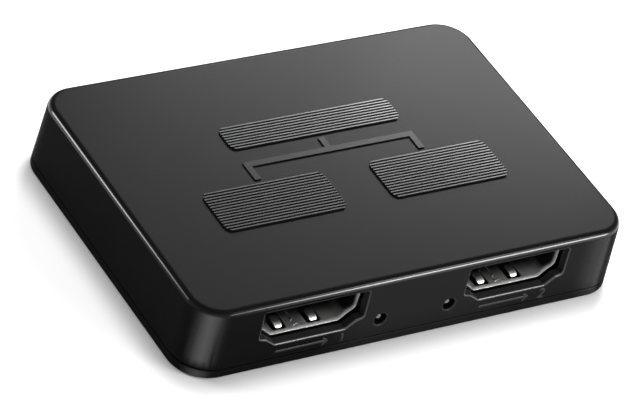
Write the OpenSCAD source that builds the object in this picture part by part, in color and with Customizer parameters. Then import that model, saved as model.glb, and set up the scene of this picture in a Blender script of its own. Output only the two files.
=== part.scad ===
// Two-output video splitter: a flat moulded case around a board with three video sockets,
// a power socket and status lights. Front with the outputs faces -Y, the input faces +Y,
// and the case stands on Z = 0.

/* [Case] */
// Width of the case at its base, along the output side
case_w = 66; // [64:1:90]
// Depth of the case at its base, from outputs to input
case_d = 46; // [44:1:70]
// Plan radius of the case corners at the base
corner_r = 5; // [4:0.5:8]
// Draft of the case walls in degrees
draft = 3; // [0:0.5:4]
// Thickness of the side walls
wall = 1.2; // [1:0.1:1.6]
// Thickness of the top wall
roof = 1.1; // [0.8:0.05:1.6]
// Clearance between the video sockets and the top wall
headroom = 0.355; // [0.12:0.005:4]
// Radius of the rounded top edge
edge_r = 1; // [0.4:0.1:1.5]
// Thickness of the bottom cover, which is the height of the parting line
base_t = 1.3; // [1.2:0.1:2]
// Radius of the bottom edge
base_edge_r = 0.4; // [0.2:0.1:0.8]
// Height of the open parting line
seam = 0.2; // [0.1:0.01:0.25]
// Depth of the open parting line
seam_in = 0.45; // [0.2:0.05:0.6]
// Chamfer of the bottom cover below the parting line
seam_lip = 0.06; // [0.02:0.01:0.1]
// Radius inside the top edge
inside_r = 0.4; // [0.2:0.1:0.8]

/* [Lip and screws] */
// Thickness of the bottom cover's locating lip
lip_t = 1; // [0.8:0.1:1.4]
// Height of the lip above the parting line
lip_h = 1.6; // [0.8:0.1:2.2]
// Clearance between the lip and the top cover
lip_gap = 0.15; // [0.05:0.05:0.3]
// Diameter of a case screw's shank
screw_d = 1.9; // [1.6:0.1:2.4]
// Length of the shank
screw_len = 6; // [4:0.5:6.5]
// Diameter of the screw head
screw_head_d = 3.4; // [3:0.1:4]
// Height of the screw head
screw_head_h = 0.9; // [0.6:0.1:1]
// Depth of the head below the underside
screw_sink = 0.15; // [0.1:0.05:0.2]
// Width of the cross slots in the head
screw_slot = 0.45; // [0.3:0.05:0.6]
// Radial clearance of the shank in the bottom cover and board
screw_gap = 0.15; // [0.1:0.05:0.3]
// Radial clearance of the head in its counterbore
head_gap = 0.2; // [0.1:0.05:0.4]
// Radial clearance of the shank in its post
pilot_gap = 0.03; // [0.02:0.01:0.05]
// Wall of the screw posts and standoffs
post_t = 1.2; // [0.8:0.1:1.4]

/* [Board] */
// Thickness of the board
board_t = 1.2; // [0.8:0.1:1.6]
// Height of the standoffs that carry the board
board_lift = 1; // [0.8:0.1:2]
// Clearance between the board and the lip
board_gap = 0.35; // [0.2:0.05:0.6]
// Distance of the screws from the board's edges
screw_inset = 3.2; // [2.8:0.1:3.6]

/* [Video sockets] */
// Width of the socket opening
socket_w = 14; // [13:0.1:14.5]
// Height of the socket opening
socket_h = 4.55; // [4.4:0.05:4.8]
// Width of the flat floor of the opening
socket_flat = 10; // [9.8:0.1:11]
// Run of the slanted sides from the floor to their knee
socket_knee_run = 1.05; // [0.9:0.05:1.2]
// Height of the knee
socket_knee_rise = 1; // [0.9:0.05:1.1]
// Height at which the slanted sides meet the upright sides
socket_rise = 1.6; // [1.5:0.05:1.9]
// Corner radius inside the opening
socket_r = 0.7; // [0.4:0.05:0.8]
// Sheet thickness of the socket shell
socket_t = 0.3; // [0.25:0.05:0.4]
// Length of the socket shell
socket_len = 10.8; // [10:0.1:11.5]
// Height of the shell above the board
socket_lift = 0.175; // [0.15:0.005:0.6]
// Outward step of the formed mouth
rim_out = 0.12; // [0.05:0.01:0.13]
// Depth of the formed mouth
rim_len = 0.45; // [0.3:0.05:0.6]
// Depth of the mouth behind the outside of the case
mouth_recess = 1.45; // [1.3:0.05:1.8]
// Distance of an output socket's middle from the side of the case
outlet_inset = 17.7; // [17:0.1:20]
// Sideways offset of the pair of output sockets
outlet_shift = -0.3; // [-0.5:0.05:0.5]
// Clearance of the case cut-out at the sides of the opening
port_side = 0.65; // [0.5:0.05:0.8]
// Clearance of the case cut-out below the opening
port_below = 0.3; // [0.2:0.05:0.5]
// Clearance of the case cut-out above the opening
port_above = 0.63; // [0.4:0.01:0.7]
// Extra half width of the cut-out's flat floor
port_flat = 0.14; // [0:0.02:0.3]
// Run of the cut-out's slanted corners from the floor to their knee
port_knee_run = 1.4; // [1.2:0.05:1.6]
// Height of that knee
port_knee_rise = 1.05; // [0.9:0.05:1.15]
// Height at which the slanted corners meet the upright sides
port_rise = 1.35; // [1.25:0.05:1.6]
// Corner radius of the cut-out
port_r = 0.35; // [0.2:0.05:0.5]
// Width of a shell leg
leg_w = 1.6; // [1.2:0.1:2]
// Length of a leg below the board
leg_out = 0.5; // [0.3:0.1:0.7]
// Depth of the front legs behind the mouth
leg_front = 2.4; // [2:0.1:3]
// Depth of the rear legs behind the mouth
leg_rear = 8.2; // [7:0.1:9]
// Clearance of a leg in its board slot
leg_gap = 0.15; // [0.1:0.05:0.3]

/* [Spring fingers] */
// Width of a finger
finger_w = 1.1; // [0.9:0.1:1.4]
// Length of a finger
finger_len = 5; // [4:0.1:5.5]
// Thickness of a finger
finger_t = 0.22; // [0.15:0.01:0.25]
// Height of the finger's crest inside the opening
finger_rise = 0.4; // [0.2:0.05:0.5]
// Where the crest lies along the finger, from its tip
finger_crest = 1.2; // [1:0.05:1.6]
// Height of the finger's tip
finger_tip = 0.02; // [0:0.01:0.1]
// Depth of the finger's tip behind the mouth
finger_front = 0.75; // [0.75:0.05:1.2]
// Distance between the two fingers of a wall
finger_pitch = 5.1; // [4.5:0.1:6]
// Sideways offset of the lower pair
finger_shift = -0.8; // [-1:0.1:1]
// Clearance beside a finger, and half as much before its tip
finger_gap = 0.55; // [0.3:0.05:0.6]
// Corner radius of the window round a finger
window_r = 0.4; // [0.2:0.05:0.6]
// Clearance at the finger's root
root_gap = 0.03; // [0.02:0.01:0.05]

/* [Tongue and contacts] */
// Width of the socket tongue
tongue_w = 11.3; // [11:0.1:11.6]
// Thickness of the tongue
tongue_t = 1.2; // [1:0.05:1.3]
// Height of the tongue's underside above the opening's floor
tongue_z = 1.85; // [1.75:0.05:1.95]
// Depth of the tongue's tip behind the mouth
tongue_front = 1.6; // [1.4:0.1:2]
// Chamfer at the tongue's tip
tongue_chamfer = 0.25; // [0.1:0.05:0.35]
// Length of the block that carries the tongue
block_len = 2.6; // [2:0.1:3]
// Clearance of the mouldings in their shells and of contacts in their slots
fit_gap = 0.05; // [0.02:0.01:0.08]
// Width of a contact
contact_w = 0.3; // [0.24:0.02:0.34]
// Thickness of a contact
contact_t = 0.15; // [0.1:0.01:0.18]
// Spacing of the contacts in a row
contact_pitch = 1; // [0.9:0.02:1.05]
// Contacts in the upper row, one more than in the lower row
contact_n = 10; // [8:1:10]
// Bare length of the tongue before a contact starts
contact_start = 0.4; // [0.3:0.05:0.6]
// Clearance between the block and the contact tails
tail_gap = 0.15; // [0.1:0.05:0.3]
// Length of a contact's foot on the board
foot_len = 0.8; // [0.6:0.1:1]

/* [Power socket] */
// Width of the power socket's opening
power_w = 6.9; // [6.5:0.1:7.2]
// Height of the opening
power_h = 1.85; // [1.8:0.05:2.2]
// Width of the opening's flat floor
power_flat = 5.4; // [5:0.1:5.8]
// Rise of the opening's slanted corners
power_rise = 0.8; // [0.6:0.05:1]
// Corner radius inside the opening
power_r = 0.2; // [0.1:0.05:0.25]
// Sheet thickness of the power socket's shell
power_t = 0.25; // [0.2:0.05:0.3]
// Length of the shell
power_len = 5; // [4.8:0.1:6]
// Height of the shell above the board
power_lift = 0.2; // [0.1:0.05:0.4]
// Depth of the mouth behind the outside of the case
power_recess = 1.3; // [1.2:0.05:1.6]
// Distance of the power socket's middle from the side of the case
power_inset = 15; // [14:0.1:16]
// Clearance of the case cut-out round the shell
power_port = 0.35; // [0.2:0.05:0.5]
// Width of the tongue
power_tongue_w = 3.7; // [3.4:0.1:4]
// Thickness of the tongue
power_tongue_t = 0.6; // [0.5:0.05:0.65]
// Depth of the tongue's tip behind the mouth
power_tongue_front = 0.9; // [0.7:0.1:1.2]
// Height of the tongue's underside above the opening's floor
power_tongue_z = 0.85; // [0.7:0.05:0.9]
// Length of the block behind the tongue
power_block = 1.2; // [1:0.1:1.5]
// Spacing of the five contacts
power_pitch = 0.65; // [0.6:0.01:0.7]
// Number of contacts
power_contacts = 5; // [4:1:5]

/* [Lights] */
// Diameter of a light's lens
lens_d = 1.3; // [1:0.1:1.5]
// Diameter of the hole in the case before it
lens_hole_d = 1.75; // [1.7:0.05:2.2]
// Height of the lens axis above the board
lens_z = 0.5; // [0.4:0.05:0.7]
// Depth of the lens tip behind the outside of the case
lens_recess = 0.4; // [0.3:0.05:1]
// Mean distance of the output lights from the cut-outs beside them
light_gap = 2.45; // [2:0.05:3]
// Width of a light's body
light_w = 2; // [1.6:0.1:2.2]
// Depth of a light's body
light_d = 1.4; // [1:0.1:1.8]
// Height of a light's body
light_h = 1.1; // [0.9:0.1:1.5]
// Overhang of a light's body past the board's edge
light_over = 0.1; // [0.05:0.05:0.2]

/* [Relief on the top] */
// Height of the ridges above the top
relief = 0.25; // [0.15:0.05:0.4]
// Depth of the grooves between the ridges
ridge_depth = 0.12; // [0.06:0.02:0.14]
// Spacing of the ridges
ridge_pitch = 0.5; // [0.4:0.05:1]
// Flat width on top of a ridge
ridge_flat = 0.2; // [0.1:0.02:0.26]
// Width of a screen pictogram
screen_w = 18; // [14:0.5:20]
// Height of a screen pictogram
screen_h = 7.5; // [6:0.5:9]
// Distance between the two screens' centres
screen_pitch = 25; // [24:0.5:28]
// Place of the screens before the middle
screen_y = -5.3; // [-8:0.1:-5]
// Width of the source pictogram
source_w = 26; // [14:0.5:36]
// Height of the source pictogram
source_h = 4.5; // [3:0.5:6]
// Place of the source behind the middle
source_y = 7.2; // [6:0.1:9]
// Corner radius of the pictograms
sign_r = 1.2; // [0.5:0.1:1.4]
// Width of the lines between them
line_w = 0.9; // [0.6:0.1:1.5]
// Place of the cross line
line_y = 2; // [1:0.1:3]
// Distance between a line's end and a pictogram
line_gap = 0.6; // [0.4:0.1:1]

/* [Board parts] */
// Width of the splitter chip's body
chip_w = 10; // [8:0.5:10]
// Height of the chip's body
chip_h = 1.4; // [1:0.1:1.6]
// Gap below the chip bodies
chip_lift = 0.1; // [0.05:0.05:0.2]
// Leads on each side of the chip
chip_pins = 16; // [8:1:18]
// Spacing of the chip's leads
chip_pitch = 0.5; // [0.4:0.05:0.5]
// Width of a chip lead
lead_w = 0.22; // [0.18:0.02:0.26]
// Thickness of a lead
lead_t = 0.13; // [0.1:0.01:0.15]
// Height of a lead's shoulder
lead_z = 0.6; // [0.4:0.05:0.8]
// Reach of a lead's shoulder
lead_run = 0.45; // [0.3:0.05:0.5]
// Length of a lead's foot
lead_foot = 0.6; // [0.4:0.05:0.7]
// Length of the memory chip's body
memory_l = 4.9; // [4.5:0.1:5]
// Width of the memory chip's body
memory_w = 3.9; // [3.5:0.1:4]
// Leads on each side of the memory chip
memory_pins = 4; // [3:1:4]
// Spacing of the memory chip's leads
memory_pitch = 1.27; // [1:0.01:1.27]
// Width of a memory or regulator lead
wide_lead_w = 0.42; // [0.3:0.02:0.6]
// Length of the regulator's body
regulator_l = 6.5; // [6:0.1:7]
// Width of the regulator's body
regulator_w = 3.5; // [3:0.1:3.6]
// Height of the memory and regulator bodies
small_chip_h = 1.5; // [1.2:0.1:1.8]
// Spacing of the regulator's leads
regulator_pitch = 2.3; // [2:0.1:2.4]
// Width of the regulator's tab
regulator_tab = 3; // [2.5:0.1:3.4]
// Length of the crystal
crystal_l = 3.2; // [2.5:0.1:3.4]
// Width of the crystal
crystal_w = 2.5; // [2:0.1:2.6]
// Height of the crystal's base
crystal_h = 0.5; // [0.4:0.05:0.7]
// Height of the crystal's lid
crystal_lid_h = 0.25; // [0.15:0.05:0.4]
// Step between the crystal's base and lid
crystal_step = 0.15; // [0.1:0.05:0.3]
// Width of the inductor
coil_w = 4; // [3.5:0.1:4.4]
// Height of the inductor
coil_h = 1.8; // [1.5:0.1:2.5]
// Thickness of the inductor's terminals
coil_end_t = 0.25; // [0.15:0.05:0.3]
// Width of the inductor's terminals
coil_end_w = 2.4; // [2:0.1:3]
// Height of the inductor's terminals
coil_end_h = 0.9; // [0.6:0.1:1.2]
// Distance of the regulator's middle from the end of the board
regulator_inset = 8.7; // [8.5:0.1:9]
// Place of the regulator and the inductor behind the middle
supply_y = 6; // [5.8:0.1:6.4]
// Distance between the middles of the regulator and the inductor
coil_space = 8; // [7.2:0.1:8.4]
// Distance of the bulk capacitors from the end of the board
can_inset = 5.2; // [3:0.1:6]
// Distance between the two bulk capacitors
can_space = 5; // [4.7:0.1:5.5]
// Diameter of a bulk capacitor's can
can_d = 4; // [3.5:0.1:4.2]
// Height of a can
can_h = 4.7; // [3.5:0.1:4.8]
// Depth of the groove round a can
can_groove = 0.2; // [0.1:0.05:0.3]
// Width of a can's plastic base
can_base_w = 4.3; // [4.2:0.1:4.6]
// Height of a can's plastic base
can_base_h = 0.6; // [0.4:0.05:0.7]
// Length of a chip capacitor or resistor
passive_l = 1.6; // [1.2:0.1:1.7]
// Width of a chip capacitor or resistor
passive_w = 0.8; // [0.6:0.05:0.85]
// Length of its metal ends
passive_end = 0.35; // [0.2:0.05:0.4]
// Height of a chip capacitor
capacitor_h = 0.7; // [0.5:0.05:0.9]
// Height of a chip resistor
resistor_h = 0.45; // [0.3:0.05:0.6]
// Length of a surge array
surge_l = 2.5; // [2:0.1:2.6]
// Width of a surge array
surge_w = 1; // [0.8:0.1:1]
// Height of a surge array
surge_h = 0.5; // [0.4:0.05:0.7]

/* [Hidden] */
$fn = 48;
arc_steps = 8;
corner_steps = 5;
finger_steps = 6;
over = 0.5;

plastic = "#26262a";
steel = "#c9cacc";
brass = "#c8a24a";
nylon = "#1b1b1d";
resist = "#17181a";
epoxy = "#222326";
white = "#e8e6df";
tan_ceramic = "#9b7a55";
lens_green = "#39543c";

board_z = base_t + board_lift;
board_top = board_z + board_t;
lip_top = base_t + lip_h;
board_edge = wall_in(base_t) + wall + lip_gap + lip_t + board_gap;
board_w = case_w - 2 * board_edge;
board_d = case_d - 2 * board_edge;
board_r = corner_r - board_edge;

floor_z = socket_lift + socket_t;
roof_z = board_top + floor_z + socket_h + socket_t + rim_out + headroom;
case_h = roof_z + roof;
socket_mid_z = board_top + floor_z + socket_h / 2;
mouth_y = case_d / 2 - wall_in(socket_mid_z) - mouth_recess;
tail_y = socket_len + tail_gap;
block_y = socket_len - block_len;
tongue_top = tongue_z + tongue_t;
contact_sink = contact_t / 2;
outlet_x = case_w / 2 - outlet_inset;
outlets = [outlet_shift - outlet_x, outlet_shift + outlet_x];
finger_root = finger_front + finger_len;
tip_drop = finger_rise - finger_tip;
finger_bow = (finger_crest * finger_crest + tip_drop * tip_drop) / (2 * tip_drop);

power_floor = power_lift + power_t;
power_mid_z = board_top + power_floor + power_h / 2;
power_mouth_y = case_d / 2 - wall_in(power_mid_z) - power_recess;
power_block_y = power_len - power_block;
power_x = case_w / 2 - power_inset;

light_y = board_d / 2 + light_over;
light_x = outlet_x - socket_w / 2 - port_side - light_gap;
power_light_x = (socket_w / 2 + port_side + power_x - power_w / 2 - power_t - power_port) / 2;
lens_tip = case_d / 2 - wall_in(board_top + lens_z) - lens_recess - light_y;

post_d = screw_d + 2 * (pilot_gap + post_t);
standoff_d = screw_d + 2 * (screw_gap + post_t);
screw_seat = screw_sink + screw_head_h;
screw_top = screw_seat + screw_len;

// Places on the board, from its middle and from its end
chip_at = [0, -1];
memory_at = [-13, 3];
crystal_at = [10.5, -2.5];
regulator_at = [board_w / 2 - regulator_inset, supply_y];
coil_at = [regulator_at[0] - coil_space, supply_y];
can_at = [for (y = [0, -can_space]) [board_w / 2 - can_inset, y]];
capacitor_column = 8;
capacitor_gap = 1.6;
resistor_row = 3.2;
resistor_gap = 1.8;
surge_gap = 1.1;
surge_spread = 3;

// Inset of the drafted outer wall at a height
function wall_in(z) = z * tan(draft);

// Wall profile as [inset, height] points with a rounded top edge
function round_top(z0, z1, off, r) =
  let (zc = z1 - r, ic = wall_in(zc) + off + r / cos(draft))
  concat([[wall_in(z0) + off, z0]],
    [for (k = [0:arc_steps]) let (a = draft + (90 - draft) * k / arc_steps)
      [ic - r * cos(a), zc + r * sin(a)]]);

// Straight wall profile between two heights
function plain_side(z0, z1, off) = [[wall_in(z0) + off, z0], [wall_in(z1) + off, z1]];

// Profile of the bottom cover with its rounded lower edge and chamfered upper edge
function base_side() = concat(
  [for (k = [0:corner_steps]) let (a = 90 - 90 * k / corner_steps, z = base_edge_r * (1 - sin(a)))
    [wall_in(z) + base_edge_r * (1 - cos(a)), z]],
  [[wall_in(base_t - seam_lip), base_t - seam_lip], [wall_in(base_t) + seam_lip, base_t]]);

// Profile of the top cover's outside, set back behind the open parting line
function cover_side() =
  concat(plain_side(base_t, base_t + seam, seam_in), round_top(base_t + seam, case_h, 0, edge_r));

// Wall profile mirrored to a closed section of a given half width
function section(profile, half) = concat(
  [for (p = profile) [half - p[0], p[1]]],
  [for (k = [len(profile) - 1:-1:0]) [profile[k][0] - half, profile[k][1]]]);

// Outline with each corner rounded to radius r
function rounded(pts, r) = [for (i = [0:len(pts) - 1])
  let (n = len(pts), b = pts[i],
    u = unit(pts[(i + n - 1) % n] - b), v = unit(pts[(i + 1) % n] - b),
    half = acos(u * v) / 2, c = b + unit(u + v) * r / sin(half),
    t = b + u * r / tan(half) - c, a0 = atan2(t[1], t[0]),
    turn = (u[0] * v[1] - u[1] * v[0] > 0 ? -1 : 1) * (180 - 2 * half))
  for (k = [0:corner_steps]) c + r * [cos(a0 + turn * k / corner_steps), sin(a0 + turn * k / corner_steps)]];

function unit(v) = v / norm(v);

// Rectangle of a given width and height about the origin
function oblong(w, h) = [[-w / 2, -h / 2], [w / 2, -h / 2], [w / 2, h / 2], [-w / 2, h / 2]];

// Opening with slanted lower corners and any knees in them, its floor at zero
function d_shape(w, h, flat, rise, knees) =
  let (right = concat([[flat / 2, 0]], [for (k = knees) [flat / 2 + k[0], k[1]]],
    [[w / 2, rise], [w / 2, h]]))
  concat(right, [for (k = [len(right) - 1:-1:0]) [-right[k][0], right[k][1]]]);

// Outline with every side moved outward by o
function grown(pts, o) = [for (i = [0:len(pts) - 1])
  let (n = len(pts), u = outward(pts[i] - pts[(i + n - 1) % n]), v = outward(pts[(i + 1) % n] - pts[i]))
  pts[i] + o * (u + v) / (1 + u * v)];

function outward(d) = unit([d[1], -d[0]]);

function socket_outline(o) = rounded(grown(d_shape(socket_w, socket_h, socket_flat, socket_rise,
  [[socket_knee_run, socket_knee_rise]]), o), socket_r + o);
function power_outline(o) = rounded(grown(d_shape(power_w, power_h, power_flat, power_rise, []), o),
  power_r + o);

// Flat strip from y0 to y1 at height z that steps down to the board and ends in a foot
function stepped(y0, y1, z, t, foot) = [[y0, z], [y1, z], [y1, 0], [y1 + foot, 0], [y1 + foot, t],
  [y1 + t, t], [y1 + t, z + t], [y0, z + t]];

// Height of a finger's inner face at distance s from its tip
function finger_z(s) = s < finger_crest
  ? finger_rise - finger_bow + sqrt(finger_bow * finger_bow - (finger_crest - s) * (finger_crest - s))
  : finger_rise * (1 + cos(180 * (s - finger_crest) / (finger_len - finger_crest))) / 2;

// Distances along a finger, closer together before the crest
function finger_stops() = concat(
  [for (k = [0:finger_steps - 1]) finger_crest * k / finger_steps],
  [for (k = [0:finger_steps]) finger_crest + (finger_len - finger_crest) * k / finger_steps]);

// Side outline of a finger
function finger_outline() = let (s = finger_stops()) concat(
  [for (k = [0:len(s) - 1]) [finger_front + s[k], finger_z(s[k])]],
  [for (k = [len(s) - 1:-1:0]) [finger_front + s[k], finger_z(s[k]) - finger_t]]);

// Places of the contacts in the upper and lower rows
function upper_contacts() = [for (k = [0:contact_n - 1]) (k - (contact_n - 1) / 2) * contact_pitch];
function lower_contacts() = [for (k = [0:contact_n - 2]) (k - (contact_n - 2) / 2) * contact_pitch];
function power_places() = [for (k = [0:power_contacts - 1]) (k - (power_contacts - 1) / 2) * power_pitch];

// Round-cornered solid with drafted walls that follows a wall profile
module slab(profile) {
  run_x = case_w - 2 * corner_r;
  run_y = case_d - 2 * corner_r;
  z0 = profile[0][1];
  z1 = profile[len(profile) - 1][1];
  rotate([90, 0, 90]) linear_extrude(run_x, center = true) polygon(section(profile, case_d / 2));
  rotate([90, 0, 0]) linear_extrude(run_y, center = true) polygon(section(profile, case_w / 2));
  for (k = [0:3])
    translate([(k % 3 == 0 ? 1 : -1) * run_x / 2, (k < 2 ? 1 : -1) * run_y / 2, 0])
      rotate(90 * k) rotate_extrude(angle = 90)
        polygon(concat([[0, z0]], [for (p = profile) [corner_r - p[0], p[1]]], [[0, z1]]));
}

// Flat shape raised from z0 to z1
module plate(z0, z1) {
  translate([0, 0, z0]) linear_extrude(z1 - z0) children();
}

// Front view of a socket drawn from depth y0 to y1, its floor at height z
module along_y(y0, y1, z) {
  translate([0, y1, z]) rotate([90, 0, 0]) linear_extrude(y1 - y0) children();
}

// Side view drawn at x with a width
module across(x, w) {
  translate([x, 0, 0]) rotate([90, 0, 90]) linear_extrude(w, center = true) children();
}

// Box from one corner to the other
module block(a, b) {
  translate(a) cube(b - a);
}

// Places on the front and the rear wall: depth grows inward from the mouth
module at_front(x, y) {
  translate([x, -y, board_top]) children();
}
module at_rear(x, y) {
  translate([x, y, board_top]) rotate(180) children();
}
module at_inputs_and_outputs() {
  for (x = outlets) at_front(x, mouth_y) children();
  at_rear(0, mouth_y) children();
}
module at_lights() {
  for (s = [-1, 1]) at_front(s * light_x, light_y) children();
  at_rear(power_light_x, light_y) children();
}
module at_screws() {
  for (x = [-1, 1], y = [-1, 1])
    translate([x * (board_w / 2 - screw_inset), y * (board_d / 2 - screw_inset), 0]) children();
}
module on_board(at) {
  translate([at[0], at[1], board_top]) children();
}

// Cut-outs in the case walls
module video_port() {
  along_y(-mouth_recess - over, wall + over, floor_z - port_below)
    polygon(rounded(d_shape(socket_w + 2 * port_side, socket_h + port_below + port_above,
      socket_flat + 2 * port_flat, port_rise, [[port_knee_run, port_knee_rise]]), port_r));
}
module power_port() {
  along_y(-power_recess - over, wall + over, power_floor) polygon(power_outline(power_t + power_port));
}
module light_port() {
  translate([0, over, lens_z]) rotate([90, 0, 0])
    cylinder(d = lens_hole_d, h = lens_tip + lens_recess + 2 * over);
}

// Pad with fine ridges along X, on the top of the case
module ridged_pad(w, h) {
  n = ceil(h / ridge_pitch);
  low = case_h + relief - ridge_depth;
  intersection() {
    plate(case_h - over, case_h + relief + over) polygon(rounded(oblong(w, h), min(sign_r, h / 3)));
    across(0, w + 2 * over) polygon(concat(
      [[-n * ridge_pitch / 2, case_h - over / 2]],
      [for (k = [0:n - 1], at = [0, ridge_pitch - ridge_flat, ridge_pitch + ridge_flat])
        [(k - n / 2) * ridge_pitch + at / 2, at > 0 ? low + ridge_depth : low]],
      [[n * ridge_pitch / 2, low], [n * ridge_pitch / 2, case_h - over / 2]]));
  }
}

// Plain raised line on the top of the case
module relief_line(a, b) {
  plate(case_h - over / 2, case_h + relief - ridge_depth / 2)
    polygon([[a[0], a[1]], [b[0], a[1]], [b[0], b[1]], [a[0], b[1]]]);
}

// One source feeding two screens, as a raised diagram
module relief_diagram() {
  side = screen_pitch / 2;
  half = line_w / 2;
  translate([0, source_y, 0]) ridged_pad(source_w, source_h);
  for (s = [-1, 1]) {
    translate([s * side, screen_y, 0]) ridged_pad(screen_w, screen_h);
    relief_line([s * side - half, screen_y + screen_h / 2 + line_gap], [s * side + half, line_y]);
  }
  relief_line([-side - half, line_y - half], [side + half, line_y + half]);
  relief_line([-half, line_y], [half, source_y - source_h / 2 - line_gap]);
}

module top_cover() {
  color(plastic) difference() {
    union() {
      difference() {
        slab(cover_side());
        slab(round_top(base_t - over, roof_z, wall, inside_r));
      }
      at_screws() translate([0, 0, board_top]) cylinder(d = post_d, h = roof_z + roof / 2 - board_top);
      relief_diagram();
    }
    at_screws() translate([0, 0, board_top - over])
      cylinder(d = screw_d + 2 * pilot_gap, h = screw_top + over / 2 - board_top + over);
    at_inputs_and_outputs() video_port();
    at_rear(power_x, power_mouth_y) power_port();
    at_lights() light_port();
  }
}

module bottom_cover() {
  color(plastic) difference() {
    union() {
      slab(base_side());
      difference() {
        slab(plain_side(base_t / 2, lip_top, wall + lip_gap));
        slab(plain_side(base_t / 2 - over, lip_top + over, wall + lip_gap + lip_t));
      }
      at_screws() translate([0, 0, base_t / 2]) cylinder(d = standoff_d, h = board_z - base_t / 2);
    }
    at_screws() {
      translate([0, 0, -over]) cylinder(d = screw_d + 2 * screw_gap, h = board_z + 2 * over);
      translate([0, 0, -over]) cylinder(d = screw_head_d + 2 * head_gap, h = screw_seat + over);
    }
  }
}

module case_screws() {
  color(steel) at_screws() difference() {
    union() {
      translate([0, 0, screw_sink]) cylinder(d = screw_head_d, h = screw_head_h);
      translate([0, 0, screw_seat]) cylinder(d = screw_d, h = screw_len);
    }
    for (a = [0, 90]) rotate(a)
      block([-screw_head_d / 3, -screw_slot / 2, -over],
        [screw_head_d / 3, screw_slot / 2, screw_sink + screw_head_h / 2]);
  }
}

// Slots for the four legs of a socket shell
module leg_slots() {
  for (s = [-1, 1], y = [leg_front, leg_rear])
    translate([s * (socket_w + socket_t) / 2, y, -board_t / 2])
      cube([socket_t + 2 * leg_gap, leg_w + 2 * leg_gap, board_t + 2 * over], center = true);
}

module main_board() {
  color(resist) difference() {
    plate(board_z, board_top) polygon(rounded(oblong(board_w, board_d), board_r));
    at_screws() translate([0, 0, board_z - over])
      cylinder(d = screw_d + 2 * screw_gap, h = board_t + 2 * over);
    at_inputs_and_outputs() leg_slots();
  }
}

// Formed sheet shell of a video socket with finger windows and board legs
module socket_shell() {
  color(steel) difference() {
    union() {
      along_y(0, rim_len, floor_z) difference() {
        polygon(socket_outline(socket_t + rim_out));
        polygon(socket_outline(rim_out));
      }
      along_y(rim_len, socket_len, floor_z) difference() {
        polygon(socket_outline(socket_t));
        polygon(socket_outline(0));
      }
      for (s = [-1, 1], y = [leg_front, leg_rear])
        translate([s * (socket_w + socket_t) / 2, y, 0])
          block([-socket_t / 2, -leg_w / 2, -board_t - leg_out],
            [socket_t / 2, leg_w / 2, floor_z + (socket_rise + socket_h) / 2]);
    }
    finger_windows(finger_shift, floor_z - socket_t / 2);
    finger_windows(0, floor_z + socket_h + socket_t / 2);
  }
}

module finger_windows(shift, z) {
  front = finger_front - finger_gap / 2;
  back = finger_root + root_gap;
  for (s = [-1, 1]) translate([shift + s * finger_pitch / 2, (front + back) / 2, 0])
    plate(z - socket_t, z + socket_t)
      polygon(rounded(oblong(finger_w + 2 * finger_gap, back - front), window_r));
}

module socket_insulator() {
  under = floor_z + tongue_z;
  top = floor_z + tongue_top;
  color(nylon) difference() {
    union() {
      along_y(block_y, socket_len, floor_z) polygon(socket_outline(-fit_gap));
      across(0, tongue_w) polygon([[tongue_front + tongue_chamfer, under], [block_y + block_len / 2, under],
        [block_y + block_len / 2, top], [tongue_front + tongue_chamfer, top],
        [tongue_front, top - tongue_chamfer], [tongue_front, under + tongue_chamfer]]);
    }
    for (x = upper_contacts()) contact_slot(x, top - contact_sink, top + contact_sink + fit_gap);
    for (x = lower_contacts()) contact_slot(x, under - contact_sink - fit_gap, under + contact_sink);
  }
}

module contact_slot(x, z0, z1) {
  half = contact_w / 2 + fit_gap;
  block([x - half, tongue_front + contact_start - fit_gap, z0], [x + half, socket_len + over, z1]);
}

// Row of contacts at height z that run back along the tongue and down to the board
module contact_row(places, z) {
  for (x = places) across(x, contact_w)
    polygon(stepped(tongue_front + contact_start, tail_y, z, contact_t, foot_len));
}

module socket_contacts() {
  color(brass) {
    contact_row(upper_contacts(), floor_z + tongue_top - contact_sink);
    contact_row(lower_contacts(), floor_z + tongue_z - contact_sink);
  }
}

module lower_springs() {
  color(steel) for (s = [-1, 1]) translate([finger_shift + s * finger_pitch / 2, 0, floor_z])
    across(0, finger_w) polygon(finger_outline());
}

module upper_springs() {
  color(steel) for (s = [-1, 1]) translate([s * finger_pitch / 2, 0, floor_z + socket_h])
    mirror([0, 0, 1]) across(0, finger_w) polygon(finger_outline());
}

module output_1_socket_shell() { at_front(outlets[0], mouth_y) socket_shell(); }
module output_1_socket_insulator() { at_front(outlets[0], mouth_y) socket_insulator(); }
module output_1_socket_contacts() { at_front(outlets[0], mouth_y) socket_contacts(); }
module output_1_lower_springs() { at_front(outlets[0], mouth_y) lower_springs(); }
module output_1_upper_springs() { at_front(outlets[0], mouth_y) upper_springs(); }

module output_2_socket_shell() { at_front(outlets[1], mouth_y) socket_shell(); }
module output_2_socket_insulator() { at_front(outlets[1], mouth_y) socket_insulator(); }
module output_2_socket_contacts() { at_front(outlets[1], mouth_y) socket_contacts(); }
module output_2_lower_springs() { at_front(outlets[1], mouth_y) lower_springs(); }
module output_2_upper_springs() { at_front(outlets[1], mouth_y) upper_springs(); }

module input_socket_shell() { at_rear(0, mouth_y) socket_shell(); }
module input_socket_insulator() { at_rear(0, mouth_y) socket_insulator(); }
module input_socket_contacts() { at_rear(0, mouth_y) socket_contacts(); }
module input_lower_springs() { at_rear(0, mouth_y) lower_springs(); }
module input_upper_springs() { at_rear(0, mouth_y) upper_springs(); }

module power_socket_shell() {
  color(steel) at_rear(power_x, power_mouth_y) {
    along_y(0, power_len, power_floor) difference() {
      polygon(power_outline(power_t));
      polygon(power_outline(0));
    }
    for (s = [-1, 1]) translate([s * (power_w + power_t) / 2, power_len / 2, (power_floor + power_h) / 2])
      cube([power_t, power_len / 2, power_floor + power_h], center = true);
  }
}

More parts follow.
